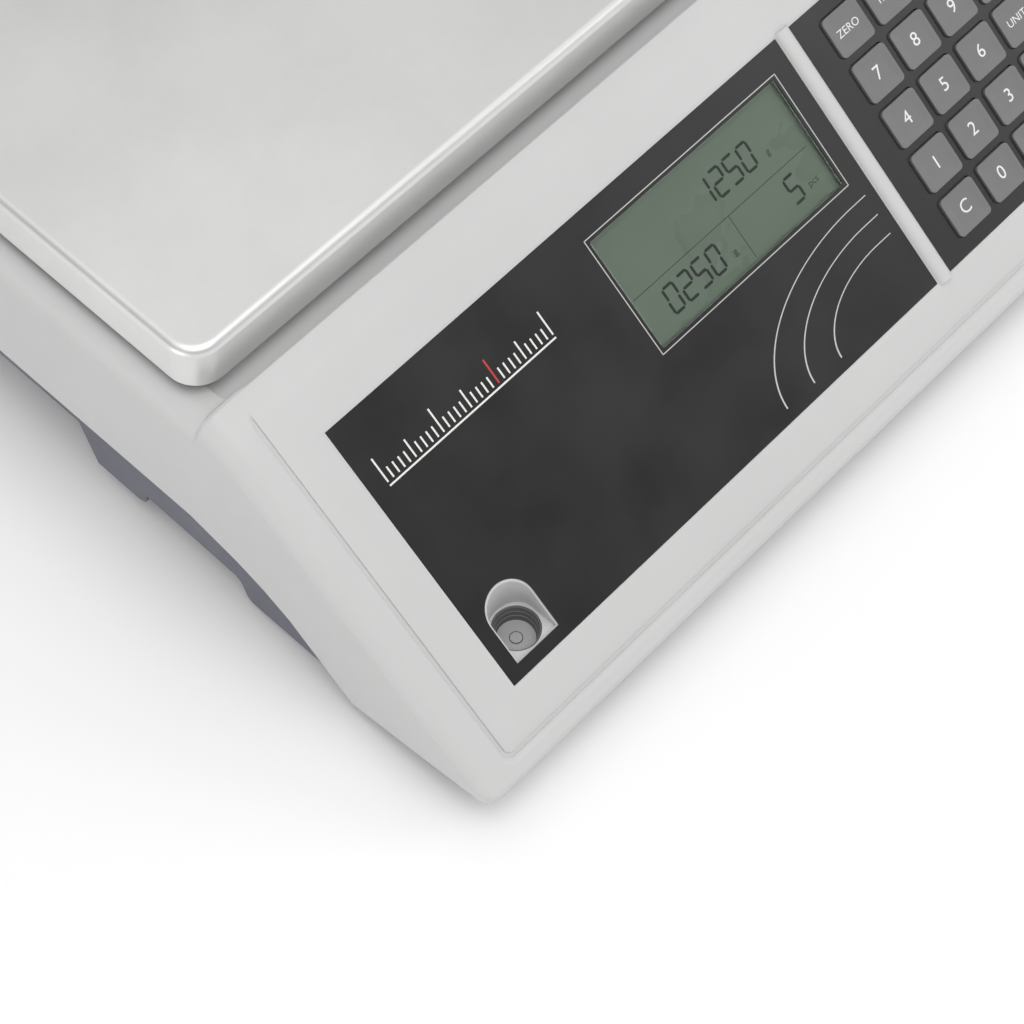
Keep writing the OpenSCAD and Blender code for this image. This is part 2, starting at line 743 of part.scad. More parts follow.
module casing_screws() {
    color([0.55, 0.55, 0.57]) for (p = screw_at)
        translate([p[0], p[1], screw_head_z]) screw_up(1.45, 19, 3.4, 2.5);
}

// Rubber pad that stands on the surface and stays still while the screw turns
module foot_pad(i) {
    color([0.12, 0.12, 0.12]) translate([foot_at[i][0], foot_at[i][1], 0]) difference() {
        union() {
            cylinder(h = 0.8, r1 = foot_d / 2 - 2.4, r2 = foot_d / 2 - 1.6);
            translate([0, 0, 0.8]) cylinder(h = foot_pad_h - 0.8, r = foot_d / 2 - 1.6);
        }
        translate([0, 0, foot_pad_h - 1.2]) cylinder(h = 4, r = 5.2);
    }
}

// Knurled disc with its threaded stud
module foot_screw(i) {
    notches = 24;
    color([0.2, 0.2, 0.21]) translate([foot_at[i][0], foot_at[i][1], foot_pad_h + 0.05]) {
        difference() {
            cylinder(h = foot_knob_h, r = foot_d / 2);
            for (k = [0:notches - 1]) rotate([0, 0, k * 360 / notches])
                translate([foot_d / 2 + 0.4, 0, -1]) cylinder(h = foot_knob_h + 2, r = 0.9, $fn = 16);
        }
        translate([0, 0, foot_knob_h - 0.1]) cylinder(h = 22, r = stud_r);
        translate([0, 0, -1]) cylinder(h = 1.1, r = 5);
    }
}

top_casing();
base_tray();
display_panel();
keypad_panel();
display_window();
lcd_module();
display_board();
keypad_mat();
keypad_board();
board_screws();
level_vial();
vial_bubble();
weighing_pan();
pan_carrier();
pan_buffers();
load_cell();
cell_base_spacer();
cell_top_spacer();
cell_bolts();
cell_bracket();
bracket_screws();
overload_stop();
main_board();
battery();
battery_door();
battery_strap();
connector_plate();
dc_jack();
switch_frame();
switch_rocker();
wiring_harness();
casing_screws();
for (i = [0:3]) {
    foot_pad(i);
    foot_screw(i);
}
for (r = [0:key_rows - 1], c = [0:key_cols - 1])
    key_cap(r, c);
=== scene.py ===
import json
import math

import bmesh
import bpy
from mathutils import Matrix, Vector


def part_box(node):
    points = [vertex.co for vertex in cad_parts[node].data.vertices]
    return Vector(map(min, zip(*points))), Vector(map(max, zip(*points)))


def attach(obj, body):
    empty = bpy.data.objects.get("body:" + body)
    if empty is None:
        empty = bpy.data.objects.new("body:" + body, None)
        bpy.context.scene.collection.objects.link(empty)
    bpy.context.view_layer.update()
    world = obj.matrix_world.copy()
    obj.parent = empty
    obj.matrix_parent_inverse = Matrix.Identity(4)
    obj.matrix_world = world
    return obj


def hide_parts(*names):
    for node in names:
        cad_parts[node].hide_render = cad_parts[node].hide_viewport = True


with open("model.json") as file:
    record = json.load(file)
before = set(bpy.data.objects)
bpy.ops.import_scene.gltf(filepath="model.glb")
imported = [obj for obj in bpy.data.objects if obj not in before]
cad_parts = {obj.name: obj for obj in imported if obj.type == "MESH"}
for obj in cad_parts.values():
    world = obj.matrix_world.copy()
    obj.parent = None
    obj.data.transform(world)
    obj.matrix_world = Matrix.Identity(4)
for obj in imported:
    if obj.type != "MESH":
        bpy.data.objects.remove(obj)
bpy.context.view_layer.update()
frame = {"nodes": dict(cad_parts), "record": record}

# ---- Measures, in millimetres until they reach Blender ----

MM = 0.001
HALF_W = 166.0
HALF_D = 172.0
SLOPE = math.radians(38)
COS, SIN = math.cos(SLOPE), math.sin(SLOPE)
DECK_Z = 94.0
PARTING_Z = 39.5
FACE_N = 0.5
WALL = 2.6
FILM = 0.5
DISPLAY_W, RIB_W, KEYPAD_W, PANEL_H = 186.0, 6.0, 86.0, 90.0
PANELS_W = DISPLAY_W + RIB_W + KEYPAD_W
KEYPAD_U = DISPLAY_W + RIB_W

# The panels' front left corner comes from the display panel's own box
PANEL_GAP = 0.15
panel_low, panel_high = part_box("display_panel")
PANEL_LEFT = panel_low.x / MM - PANEL_GAP
PANEL_FRONT = panel_low.y / MM - PANEL_GAP * COS
PANEL_FRONT_Z = panel_low.z / MM - PANEL_GAP * SIN + FILM * COS

vial_low, vial_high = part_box("level_vial")
VIAL_X = (vial_low.x + vial_high.x) / 2 / MM
VIAL_Y = (vial_low.y + vial_high.y) / 2 / MM
VIAL_R = (vial_high.x - vial_low.x) / 2 / MM
POCKET_R = 7.9
POCKET_Z = 32.0

WINDOW_U, WINDOW_S = 98.0, 43.0
WINDOW_HALF_W, WINDOW_HALF_H = 40.0, 19.0
KEYPAD_HALF_W, KEYPAD_HALF_H = 36.0, 41.0
KEY_ROWS, KEY_COLUMNS = 5, 4
KEY_W, KEY_H = 14.5, 13.5
KEY_TOP_N, KEY_FOOT_N = 0.9, -4.0
KEY_TALL = KEY_TOP_N - KEY_FOOT_N

# A height over everything, for blocks that are drawn down or cut upwards from it
OVERHEAD = 200.0
ABOVE = 120

pan_low, pan_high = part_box("weighing_pan")


def slope_z(y, n):
    """Height of the plane n millimetres above the panels' face, at depth y."""
    return PANEL_FRONT_Z + (y - PANEL_FRONT) * math.tan(SLOPE) + n / COS


# Turns sizes along the panels' face (u across, s up the slope, n out of it) into the row frame
SLOPE_FRAME = Matrix.Translation(
    Vector((PANEL_LEFT, PANEL_FRONT, PANEL_FRONT_Z)) * MM
) @ Matrix.Rotation(SLOPE, 4, "X")

# ---- Modelling helpers ----


def deselect():
    bpy.ops.object.select_all(action="DESELECT")


def only(obj):
    """Makes obj the one selected and active object."""
    deselect()
    obj.select_set(True)
    bpy.context.view_layer.objects.active = obj


def begin_edit(obj, kind="EDGE"):
    only(obj)
    bpy.ops.object.mode_set(mode="EDIT")
    bpy.ops.mesh.select_mode(type=kind)
    bpy.ops.mesh.select_all(action="DESELECT")


def end_edit():
    bpy.ops.object.mode_set(mode="OBJECT")


def pick(obj, kind, test):
    """Selects the edges, faces or verts of obj, in edit mode, that pass the test."""
    bm = bmesh.from_edit_mesh(obj.data)
    for part in getattr(bm, kind):
        part.select_set(bool(test(part)))
    bm.select_flush_mode()
    bmesh.update_edit_mesh(obj.data)


def settle(obj):
    """Puts the object's place into its mesh."""
    only(obj)
    bpy.ops.object.transform_apply(location=True, rotation=True, scale=True)
    return obj


def named(obj, name):
    obj.name = name
    obj.data.name = name
    return obj


def block(name, low, high):
    """A box between two corners, given in millimetres."""
    deselect()
    low, high = Vector(low) * MM, Vector(high) * MM
    bpy.ops.mesh.primitive_cube_add(size=1, location=(low + high) / 2)
    obj = named(bpy.context.active_object, name)
    obj.scale = high - low
    return settle(obj)


def rod(name, place, radius, height, sides=64):
    """An upright cylinder whose lower face is centred on place."""
    deselect()
    middle = Vector(place) + Vector((0, 0, height / 2))
    bpy.ops.mesh.primitive_cylinder_add(
        vertices=sides, radius=radius * MM, depth=height * MM, location=middle * MM
    )
    return settle(named(bpy.context.active_object, name))


def use(obj, kind, **settings):
    """Adds a modifier, sets it and applies it."""
    only(obj)
    modifier = obj.modifiers.new(kind.title(), kind)
    for key, value in settings.items():
        setattr(modifier, key, value)
    bpy.ops.object.modifier_apply(modifier=modifier.name)
    return obj


def combine(obj, other, how):
    """Joins other to obj, cuts it out, or keeps what they share."""
    use(obj, "BOOLEAN", object=other, operation=how, solver="EXACT")
    bpy.data.objects.remove(other)
    return obj


def join(obj, others):
    deselect()
    for other in others:
        other.select_set(True)
    obj.select_set(True)
    bpy.context.view_layer.objects.active = obj
    bpy.ops.object.join()
    return obj


def moved(obj, place):
    """Moves a mesh by a place in millimetres."""
    obj.data.transform(Matrix.Translation(Vector(place) * MM))
    return obj


def onto_slope(obj):
    """Moves a mesh modelled flat as (u, s, n) onto the sloped front."""
    obj.data.transform(SLOPE_FRAME)
    return obj


def extrude(rise):
    bpy.ops.mesh.extrude_region_move(TRANSFORM_OT_translate={"value": (0, 0, rise * MM)})


def step_up(size, middle, steps):
    """Extrudes the selected top face in steps, each with its rise and how far it draws in."""
    w, h = size
    for rise, inward in steps:
        extrude(rise)
        if inward:
            bpy.ops.transform.resize(value=((w - 2 * inward) / w, (h - 2 * inward) / h, 1),
                                     center_override=(middle[0] * MM, middle[1] * MM, 0))
        w, h = w - 2 * inward, h - 2 * inward


def step_up_top(obj, size, middle, steps):
    """Extrudes the whole upper face of obj in steps."""
    begin_edit(obj, "FACE")
    pick(obj, "faces", faces_up)
    step_up(size, middle, steps)
    end_edit()


def bevel_edges(obj, test, width, segments):
    """Rounds the edges that pass the test."""
    begin_edit(obj, "EDGE")
    pick(obj, "edges", test)
    bpy.ops.mesh.bevel(offset=width * MM, segments=segments, affect="EDGES", clamp_overlap=True)
    end_edit()
    return obj


def shade(obj, angle=32):
    """Smooths the shading between faces that meet at less than the angle."""
    only(obj)
    bpy.ops.object.shade_smooth_by_angle(angle=math.radians(angle))
    use(obj, "WEIGHTED_NORMAL", keep_sharp=True, weight=80)
    return obj


def soften(obj, width, segments=2, angle=35):
    """Rounds every sharp edge a little and evens out the shading."""
    use(obj, "BEVEL", width=width * MM, segments=segments, limit_method="ANGLE",
        angle_limit=math.radians(angle), use_clamp_overlap=True)
    return shade(obj)


def clean(obj, distance=0.0005):
    """Merges doubles, turns all faces outwards."""
    begin_edit(obj, "VERT")
    bpy.ops.mesh.select_all(action="SELECT")
    bpy.ops.mesh.remove_doubles(threshold=distance * MM)
    bpy.ops.mesh.dissolve_degenerate(threshold=distance * MM)
    bpy.ops.mesh.select_all(action="SELECT")
    bpy.ops.mesh.normals_make_consistent(inside=False)
    end_edit()
    return obj


def is_upright(edge):
    a, b = (v.co for v in edge.verts)
    return abs((b - a).normalized().z) > 0.999


def is_lengthways(edge):
    a, b = (v.co for v in edge.verts)
    return abs((b - a).normalized().y) > 0.999


def faces_up(face):
    return face.normal.z > 0.9


def level_near(z):
    """A test for edges that lie level at height z, in millimetres."""
    return lambda e: all(abs(v.co.z / MM - z) < 0.01 for v in e.verts)


def long_edges_at(z):
    """A test for level edges at height z that run from front to rear."""
    return lambda e: level_near(z)(e) and is_lengthways(e)


def cross_edges_at(z):
    """A test for level edges at height z that run any other way."""
    return lambda e: level_near(z)(e) and not is_lengthways(e)


# ---- Materials ----


NOISE_LOW, NOISE_HIGH = 0.3, 0.7


class Shader:
    """A node material built up step by step on one Principled shader."""

    def __init__(self, name, colour, roughness, metallic=0.0, ior=1.5):
        self.mat = bpy.data.materials.new(name)
        self.mat.use_nodes = True
        self.tree = self.mat.node_tree
        self.shader = self.tree.nodes["Principled BSDF"]
        self.coords = self.tree.nodes.new("ShaderNodeTexCoord").outputs["Object"]
        self.colour = tuple(colour) + (1.0,)
        self.shader.inputs["Base Color"].default_value = self.colour
        self.shader.inputs["Roughness"].default_value = roughness
        self.shader.inputs["Metallic"].default_value = metallic
        self.shader.inputs["IOR"].default_value = ior
        self.roughness = roughness
        self.normal = None

    def node(self, kind, **settings):
        """A new node with its settings."""
        made = self.tree.nodes.new(kind)
        for key, value in settings.items():
            setattr(made, key, value)
        return made

    def link(self, source, target):
        self.tree.links.new(source, target)

    def stretched(self, scale):
        """The object's own coordinates, scaled along each way."""
        mapping = self.node("ShaderNodeMapping")
        mapping.inputs["Scale"].default_value = scale
        self.link(self.coords, mapping.inputs["Vector"])
        return mapping.outputs["Vector"]

    def noise(self, scale, detail=2.0, stretch=(1, 1, 1), rough=0.5):
        made = self.node("ShaderNodeTexNoise")
        made.inputs["Scale"].default_value = scale
        made.inputs["Detail"].default_value = detail
        made.inputs["Roughness"].default_value = rough
        self.link(self.stretched(stretch), made.inputs["Vector"])
        return made.outputs["Fac"]

    def spread(self, value, low, high):
        """Maps a noise's usual range onto low..high."""
        made = self.node("ShaderNodeMapRange")
        made.inputs["From Min"].default_value = NOISE_LOW
        made.inputs["From Max"].default_value = NOISE_HIGH
        made.inputs["To Min"].default_value = low
        made.inputs["To Max"].default_value = high
        self.link(value, made.inputs["Value"])
        return made.outputs["Result"]

    def vary_colour(self, value, amount):
        """Darkens and lightens the colour by a share, following a noise."""
        mix = self.node("ShaderNodeMix", data_type="RGBA")
        dark = tuple(c * (1 - amount) for c in self.colour[:3]) + (1.0,)
        light = tuple(min(1, c * (1 + amount)) for c in self.colour[:3]) + (1.0,)
        mix.inputs["A"].default_value = dark
        mix.inputs["B"].default_value = light
        self.link(self.spread(value, 0, 1), mix.inputs["Factor"])
        self.link(mix.outputs["Result"], self.shader.inputs["Base Color"])
        return self

    def vary_roughness(self, value, amount):
        """Dulls and polishes the surface by an amount, following a noise."""
        low, high = self.roughness - amount, self.roughness + amount
        self.link(self.spread(value, low, high), self.shader.inputs["Roughness"])
        return self

    def bump(self, value, height):
        """Raises the surface by height millimetres where value is high."""
        made = self.node("ShaderNodeBump")
        made.inputs["Strength"].default_value = 1.0
        made.inputs["Distance"].default_value = height * MM
        self.link(value, made.inputs["Height"])
        if self.normal is not None:
            self.link(self.normal, made.inputs["Normal"])
        self.normal = made.outputs["Normal"]
        self.link(self.normal, self.shader.inputs["Normal"])
        return self


def moulded(name, colour, roughness=0.5, grain=0.03, grain_scale=1500):
    """Spark-eroded moulded plastic: fine grain, faint flow marks, uneven gloss."""
    made = Shader(name, colour, roughness)
    made.vary_colour(made.noise(14, 3), 0.02)
    made.vary_roughness(made.noise(45, 4), 0.06)
    made.bump(made.noise(grain_scale, 3, rough=0.7), grain)
    made.bump(made.noise(60, 2), 0.02)
    return made.mat


def satin_sheet(name, colour):
    """Satin stainless sheet: lightly brushed, with broad patches of painted reflection that darken
    and lighten its colour.
    """
    made = Shader(name, colour, 0.33, metallic=0.68)
    # Painted reflection: this broad colour noise stands in for the changing reflections across the
    # pan's top.
    made.vary_colour(made.noise(9, 9, rough=0.68), 0.07)
    made.vary_roughness(made.noise(160, 5, stretch=(0.25, 1, 1), rough=0.7), 0.02)
    made.bump(made.noise(35, 2), 0.004)
    return made.mat


def machined(name, colour, roughness=0.35, stretch=(0.1, 1, 1)):
    """Milled or drawn metal with fine marks along one way."""
    made = Shader(name, colour, roughness, metallic=1.0)
    made.vary_roughness(made.noise(300, 4, stretch=stretch), 0.08)
    made.bump(made.noise(900, 3, stretch=stretch), 0.01)
    return made.mat


def as_cast(name, colour):
    """Cast metal: a rough, mottled skin."""
    made = Shader(name, colour, 0.5, metallic=1.0)
    made.vary_colour(made.noise(90, 5), 0.08)
    made.vary_roughness(made.noise(300, 4), 0.1)
    made.bump(made.noise(500, 5, rough=0.7), 0.06)
    return made.mat


def moulded_rubber(name, colour):
    """Dull rubber with a faint bloom."""
    made = Shader(name, colour, 0.75)
    made.vary_colour(made.noise(60, 3), 0.15)
    made.bump(made.noise(900, 3), 0.03)
    return made.mat


def circuit(name):
    """Green solder mask with faint tracks under it."""
    made = Shader(name, (0.02, 0.16, 0.06), 0.35)
    tracks = made.node("ShaderNodeTexBrick")
    tracks.inputs["Scale"].default_value = 130
    tracks.inputs["Mortar Size"].default_value = 0.06
    tracks.inputs["Color1"].default_value = (0.015, 0.15, 0.05, 1)
    tracks.inputs["Color2"].default_value = (0.02, 0.19, 0.07, 1)
    tracks.inputs["Mortar"].default_value = (0.05, 0.3, 0.12, 1)
    made.link(made.coords, tracks.inputs["Vector"])
    made.link(tracks.outputs["Color"], made.shader.inputs["Base Color"])
    made.bump(tracks.outputs["Fac"], 0.02)
    return made.mat


def clear(name, colour, roughness=0.03):
    """Clear or tinted acrylic."""
    made = Shader(name, colour, roughness, ior=1.49)
    made.shader.inputs["Transmission Weight"].default_value = 1.0
    made.vary_roughness(made.noise(200, 3), roughness / 3)
    return made.mat


FINISH = {
    "casing_plastic": moulded("casing_grain", (0.535, 0.535, 0.532), 0.5),
    "base_plastic": moulded("base_grain", (0.11, 0.11, 0.14), 0.5),
    "panel_film": moulded("black_film", (0.009, 0.009, 0.0093), 0.34,
                          grain=0.012, grain_scale=2500),
    "key_plastic": moulded("key_grain", (0.15, 0.15, 0.153), 0.45, grain=0.015),
    "window_plastic": clear("window_acrylic", (0.75, 0.8, 0.78)),
    "lcd_glass": moulded("lcd_reflector", (0.33, 0.38, 0.30), 0.3,
                         grain=0.003, grain_scale=4000),
    "circuit_board": circuit("solder_mask"),
    "silicone": moulded_rubber("keypad_silicone", (0.5, 0.5, 0.47)),
    "vial_acrylic": moulded("vial_body", (0.38, 0.385, 0.38), 0.35, grain=0.002),
    "vial_bubble": clear("bubble_film", (0.85, 0.9, 0.86)),
    "stainless_sheet": satin_sheet("satin_stainless", (0.70, 0.697, 0.692)),
    "cast_aluminium": as_cast("cast_aluminium", (0.55, 0.56, 0.57)),
    "black_rubber": moulded_rubber("black_rubber", (0.02, 0.02, 0.02)),
    "bar_aluminium": machined("milled_aluminium", (0.66, 0.67, 0.69)),
    "zinc_steel": machined("zinc_plating", (0.5, 0.51, 0.53), 0.3, (1, 1, 0.3)),
    "battery_case": moulded("battery_case", (0.05, 0.055, 0.065), 0.4),
    "connector_black": moulded("black_nylon", (0.018, 0.018, 0.018), 0.42),
    "wire_insulation": moulded("wire_sleeve", (0.2, 0.02, 0.015), 0.35, grain=0.005),
    "foot_plastic": moulded("foot_nylon", (0.03, 0.03, 0.033), 0.5),
}
WHITE_INK = moulded("white_ink", (0.72, 0.72, 0.70), 0.5, grain=0.005)
RED_INK = moulded("red_ink", (0.5, 0.03, 0.03), 0.5, grain=0.005)
# Painted shade: a dark colour for the shadowed wall of the vial's pocket and the dark rim of its
# bubble.
VIAL_PAINTED_SHADE = moulded("vial_painted_shade", (0.12, 0.122, 0.12), 0.5, grain=0.002)
LINE_INK = moulded("line_ink", (0.5, 0.5, 0.49), 0.5, grain=0.005)
DIGIT_INK = moulded("lcd_digit", (0.02, 0.025, 0.02), 0.35, grain=0.002)

SLOT_OF = {part["node"]: part["material_slot"] for part in frame["record"]["subparts"]}
BODIES = frame["record"]["behaviour"]["bodies"]
BODY_OF = {node: body for body, nodes in BODIES.items() for node in nodes}


def paint(obj, material):
    obj.data.materials.clear()
    obj.data.materials.append(material)
    return obj


def hand_over(obj, node):
    """The finished piece takes a CAD node's place, body and finish."""
    if not obj.data.materials:
        paint(obj, FINISH[SLOT_OF[node]])
    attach(obj, BODY_OF[node])
    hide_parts(node)
    return obj


for node, obj in frame["nodes"].items():
    paint(obj, FINISH[SLOT_OF[node]])

# ---- Casing ----

HUMP_BEND = 37.0
HUMP_START_Y = PANEL_FRONT + 76.8
HUMP_START_Z = slope_z(HUMP_START_Y, FACE_N)
HUMP_MID_Y = HUMP_START_Y + HUMP_BEND * SIN
HUMP_MID_Z = HUMP_START_Z - HUMP_BEND * COS
HUMP_CREST_Y = HUMP_MID_Y - HUMP_BEND * math.sin(math.radians(14))
HUMP_CREST_Z = HUMP_MID_Z + HUMP_BEND * math.cos(math.radians(14))
NOSE_R = 2.6
NOSE_Y = -HALF_D + NOSE_R
NOSE_Z = slope_z(NOSE_Y, FACE_N - NOSE_R)
NOSE_CORNER = 5.5
NOSE_SECTIONS = (-171.2, -169.4, -166.5)
REAR_CORNER = 10.0
REAR_EDGE = 8.0
SIDE_EDGE = 7.5
CLOSEST_SECTIONS = 0.08
EDGE_SHARE = 0.45
WELL_HALF_W, WELL_BACK_Y = 153.6, 158
POST_HOLE_R = 16


def arc(y, z, radius, start, stop, steps):
    """Points on a circle in the side view, by angles from the +Y way, in degrees."""
    turns = [math.radians(start + (stop - start) * i / steps) for i in range(steps + 1)]
    return [(y + radius * math.cos(t), z + radius * math.sin(t)) for t in turns]


TOP_LINE = (
    arc(NOSE_Y, NOSE_Z, NOSE_R, 178, 90 + 38, 5)
    + [(HUMP_START_Y, HUMP_START_Z)]
    + arc(HUMP_MID_Y, HUMP_MID_Z, HUMP_BEND, 90 + 33, 90 + 14, 4)
    + [(HUMP_CREST_Y + 0.9, HUMP_CREST_Z - 0.3), (HUMP_CREST_Y + 1.8, HUMP_CREST_Z - 1.1),
       (HUMP_CREST_Y + 2.5, 95.2), (HUMP_CREST_Y + 3.0, 94.3), (HUMP_CREST_Y + 3.8, DECK_Z)]
    + arc(HALF_D - REAR_EDGE, DECK_Z - REAR_EDGE, REAR_EDGE, 90, 0, 6)
)
BOTTOM_LINE = (
    arc(NOSE_Y, NOSE_Z, NOSE_R, 182, 268, 4)
    + [(-165, 15.4), (-145, 11.3), (-117.6, 6.3), (-93.6, 26.2), (-83.6, 31.6), (-73.4, 35.3),
       (-54.4, PARTING_Z), (HALF_D, PARTING_Z)]
)


def height_on(line, y):
    """Height of a side-view line at depth y."""
    for (y0, z0), (y1, z1) in zip(line, line[1:]):
        if y <= y1 or (y1, z1) == line[-1]:
            share = 0 if y1 == y0 else min(max((y - y0) / (y1 - y0), 0), 1)
            return z0 + (z1 - z0) * share


def half_width(y):
    """Half the casing's width at depth y, drawn in at the rounded corners."""
    if y < -HALF_D + NOSE_CORNER:
        off = -HALF_D + NOSE_CORNER - y
        return HALF_W - NOSE_CORNER + math.sqrt(NOSE_CORNER**2 - off**2)
    if y > HALF_D - REAR_CORNER:
        off = y - HALF_D + REAR_CORNER
        return HALF_W - REAR_CORNER + math.sqrt(max(REAR_CORNER**2 - off**2, 0))
    return HALF_W


def shape_sections(obj, stations):
    """Cuts an overhead block across at each depth, then fits that section's foot, top and width."""
    begin_edit(obj)
    for y, *_ in stations[1:-1]:
        bpy.ops.mesh.select_all(action="SELECT")
        bpy.ops.mesh.bisect(plane_co=(0, y * MM, 0), plane_no=(0, 1, 0))
    for y, low, high, half_w in stations:
        def here(v, y=y):
            return abs(v.co.y / MM - y) < 0.004

        bpy.ops.mesh.select_mode(type="VERT")
        pick(obj, "verts", here)
        bpy.ops.transform.resize(
            value=(half_w / HALF_W, 1, 1), center_override=(0, y * MM, 0))
        pick(obj, "verts", lambda v: here(v) and v.co.z / MM > OVERHEAD / 2)
        squeeze = min(1, EDGE_SHARE * (high - low) / SIDE_EDGE)
        bpy.ops.transform.resize(value=(1, 1, squeeze), center_override=(0, 0, OVERHEAD * MM))
        bpy.ops.transform.translate(value=(0, 0, (high - OVERHEAD) * MM))
        pick(obj, "verts", lambda v: here(v) and abs(v.co.z) < 1e-6)
        bpy.ops.transform.translate(value=(0, 0, low * MM))
    end_edit()
    return obj


def casing_block():
    """The casing's outer form, with a section at every bend of its lines and corners."""
    body = block("top_casing_shell", (-HALF_W, -HALF_D, 0), (HALF_W, HALF_D, OVERHEAD))
    bevel_edges(body, long_edges_at(OVERHEAD), SIDE_EDGE, 6)
    rear_corner = arc(HALF_D - REAR_CORNER, 0, REAR_CORNER, 90, 0, 6)
    depths = {round(y, 3) for line in (TOP_LINE, BOTTOM_LINE, rear_corner) for y, _ in line}
    depths = sorted(depths | {-HALF_D, *NOSE_SECTIONS, HALF_D})
    kept = [depths[0]]
    for y in depths[1:]:
        if y - kept[-1] > CLOSEST_SECTIONS:
            kept.append(y)
    kept[-1] = HALF_D
    stations = [
        (y, height_on(BOTTOM_LINE, y), height_on(TOP_LINE, y), half_width(y)) for y in kept
    ]
    return shape_sections(body, stations)


def casing_hollow():
    """The space inside the casing, left solid around the level vial."""
    front = -HALF_D + 11.5
    below = -10
    inner_n = FACE_N - WALL
    bend_y = PANEL_FRONT + (DECK_Z - WALL - PANEL_FRONT_Z - inner_n / COS) / math.tan(SLOPE)
    hollow = block("hollow", (-HALF_W, front, 0), (HALF_W, HALF_D - WALL, OVERHEAD))
    bevel_edges(hollow, long_edges_at(OVERHEAD), SIDE_EDGE - WALL, 3)
    side = HALF_W - WALL
    stations = [
        (front, below, slope_z(front, inner_n), side - 3),
        (front + 3, below, slope_z(front + 3, inner_n), side),
        (bend_y, below, DECK_Z - WALL, side),
        (HALF_D - REAR_CORNER, below, DECK_Z - WALL, side),
        (HALF_D - REAR_CORNER + 4, below, DECK_Z - WALL - 1.5, side - 1.3),
        (HALF_D - WALL, below, DECK_Z - WALL - 5.4, side - 6),
    ]
    shape_sections(hollow, stations)
    return combine(hollow, pocket_block("vial_column", -20, ABOVE, 2), "DIFFERENCE")


def pocket_block(name, low, high, extra=0.0):
    """Upright block with the vial pocket's outline: square to the front, round on the slope."""
    r = POCKET_R + extra
    round_y = VIAL_Y + r * (1 - COS)
    body = rod(name, (VIAL_X, 0, low), r, high - low)
    body.scale.y = COS
    body.location.y = round_y * MM
    settle(body)
    front = block(name + "_front", (VIAL_X - r, VIAL_Y - r, low), (VIAL_X + r, round_y, high))
    return combine(body, front, "UNION")


def seat_cutter(name, left, right):
    """Panel seat: a flat floor, upright sides as thick as the film, then a wide soft lip."""
    cutter = block(name, (left, 0, -FILM - 0.02), (right, PANEL_H, 0))
    step_up_top(cutter, (right - left, PANEL_H), ((left + right) / 2, PANEL_H / 2),
                ((0.28, -0.6), (FACE_N - 0.28, -1.0), (4, 0)))
    return onto_slope(cutter)


def frame_cutter():
    """Everything over the fine groove and the rounded shoulder of the panels' frame."""
    groove_in, groove_out = 13.7, 14.9
    far = PANEL_H + 45
    wide = block("frame_cutter", (-groove_out, -groove_out, -0.75),
                 (PANELS_W + groove_out, far, -0.55))
    bevel_edges(wide, is_upright, 3, 4)
    step_up_top(wide, (PANELS_W + 2 * groove_out, far + groove_out),
                (PANELS_W / 2, (far - groove_out) / 2),
                ((0.35, -0.2), (0.4, -0.6), (0.3, -1.3), (4, 0)))
    plateau = block("plateau", (-groove_in, -groove_in, -4),
                    (PANELS_W + groove_in, far + 10, -0.35))
    bevel_edges(plateau, is_upright, 2.2, 4)
    step_up_top(plateau, (PANELS_W + 2 * groove_in, far + 10 + groove_in),
                (PANELS_W / 2, (far + 10 - groove_in) / 2),
                ((0.22, 0.5), (0.28, 1.4), (0.2, 2.0), (0.15, 2.1), (6, 0)))
    return onto_slope(combine(wide, plateau, "DIFFERENCE"))


def rib_bar():
    """Half-round rib that stands between the two panels."""
    top = 1.7
    bar = block("rib", (DISPLAY_W + 0.1, -1.0, -1.2), (KEYPAD_U - 0.1, PANEL_H + 1.0, top))
    bevel_edges(bar, long_edges_at(top), 2.3, 5)
    bevel_edges(bar, cross_edges_at(top), 0.9, 3)
    return onto_slope(bar)


def deck_well():
    """The shallow well under the pan."""
    well = block("deck_well", (-WELL_HALF_W, HUMP_CREST_Y + 0.5, DECK_Z - 1.5),
                 (WELL_HALF_W, WELL_BACK_Y, 110))
    return bevel_edges(well, is_upright, 6, 5)


def slope_hole(name, low, high):
    """An opening square through the sloped front, between two corners on the panels' face."""
    return onto_slope(block(name, (*low, -6), (*high, 6)))


def post_hole():
    """The round hole over the load cell, where the pan carrier's post stands."""
    low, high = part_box("cell_top_spacer")
    middle = (low + high) / 2 / MM
    return rod("post_hole", (middle.x, middle.y, 80), POST_HOLE_R, 30)


def connector_bay():
    """The opening in the rear wall in front of the connector plate."""
    low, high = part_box("connector_plate")
    lap = 3
    bay = block("bay", (low.x / MM + lap, HALF_D - 12, low.z / MM + lap),
                (high.x / MM - lap, HALF_D + 5, high.z / MM - lap))
    return bevel_edges(bay, is_lengthways, 2.5, 4)


